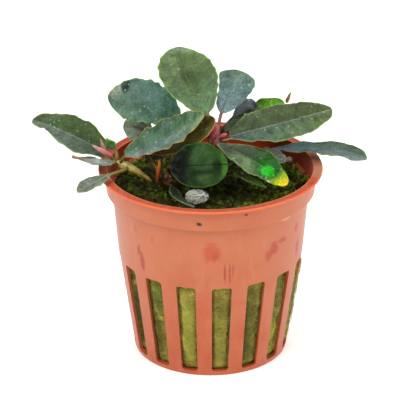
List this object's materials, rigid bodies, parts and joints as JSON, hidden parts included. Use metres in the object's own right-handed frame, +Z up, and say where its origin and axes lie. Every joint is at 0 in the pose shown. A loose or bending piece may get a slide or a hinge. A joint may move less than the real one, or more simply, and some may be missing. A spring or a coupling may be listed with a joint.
{
  "type": "potted bucephalandra aquarium plant",
  "caption": "Small bucephalandra rooted in rock wool and moss in a slotted terracotta-coloured net pot, its spoon-shaped olive, teal and slate leaves spreading past the rim.",
  "frame": {"origin": "middle of the flat underside of the pot", "axes": "+Z up along the pot's axis; -Y towards the front of the plant as pictured; +X to the right of that view"},
  "size_m": [0.0816, 0.055, 0.0755],
  "materials": {
    "pot_plastic": "moulded satin, scuffed along its edges",
    "rock_wool": "damp mineral fibre, stained yellow-green",
    "moss": "dark tufted moss",
    "olive_leaf": "smooth waxy leaf",
    "teal_leaf": "smooth waxy leaf with a silvery sheen",
    "slate_leaf": "smooth waxy leaf with a silvery sheen",
    "dark_leaf": "smooth waxy leaf",
    "fresh_leaf": "smooth young leaf",
    "brown_leaf": "smooth waxy leaf, seen from below",
    "pale_stem": "smooth fleshy stem, streaked red",
    "rhizome": "rough fleshy rhizome",
    "pink_sheath": "thin fleshy sheath",
    "crimson_sheath": "thin fleshy sheath",
    "brown_sheath": "dry papery sheath",
    "orange_shoot": "smooth closed shoot",
    "white_wool": "crumpled tuft of loose fibre"
  },
  "bodies": {
    "root": {"pot": "pot_plastic", "rock_wool": "rock_wool", "moss": "moss", "rhizome": "rhizome", "left_stem": "pale_stem", "far_left_leaf": "olive_leaf", "curled_left_leaf": "slate_leaf", "low_left_leaf": "slate_leaf", "upper_left_leaf": "teal_leaf", "centre_long_leaf": "teal_leaf", "under_long_leaf": "brown_leaf", "top_round_leaf": "olive_leaf", "upper_right_leaf": "slate_leaf", "small_back_leaf": "slate_leaf", "back_green_leaf": "fresh_leaf", "right_large_leaf": "olive_leaf", "far_right_leaf": "slate_leaf", "front_round_leaf": "dark_leaf", "front_right_leaf": "fresh_leaf", "right_grey_leaf": "slate_leaf", "back_dark_leaf": "dark_leaf", "back_left_leaf": "olive_leaf", "front_slim_leaf": "dark_leaf", "front_low_leaf": "dark_leaf", "sprout_leaf": "fresh_leaf", "pink_sheath_front": "pink_sheath", "pink_sheath_back": "pink_sheath", "red_sheath": "crimson_sheath", "red_sheath_right": "crimson_sheath", "papery_sheath": "brown_sheath", "orange_shoot": "orange_shoot", "brown_tip": "brown_sheath", "wool_tuft": "white_wool", "white_crumb": "white_wool"}
  },
  "joints": []
}
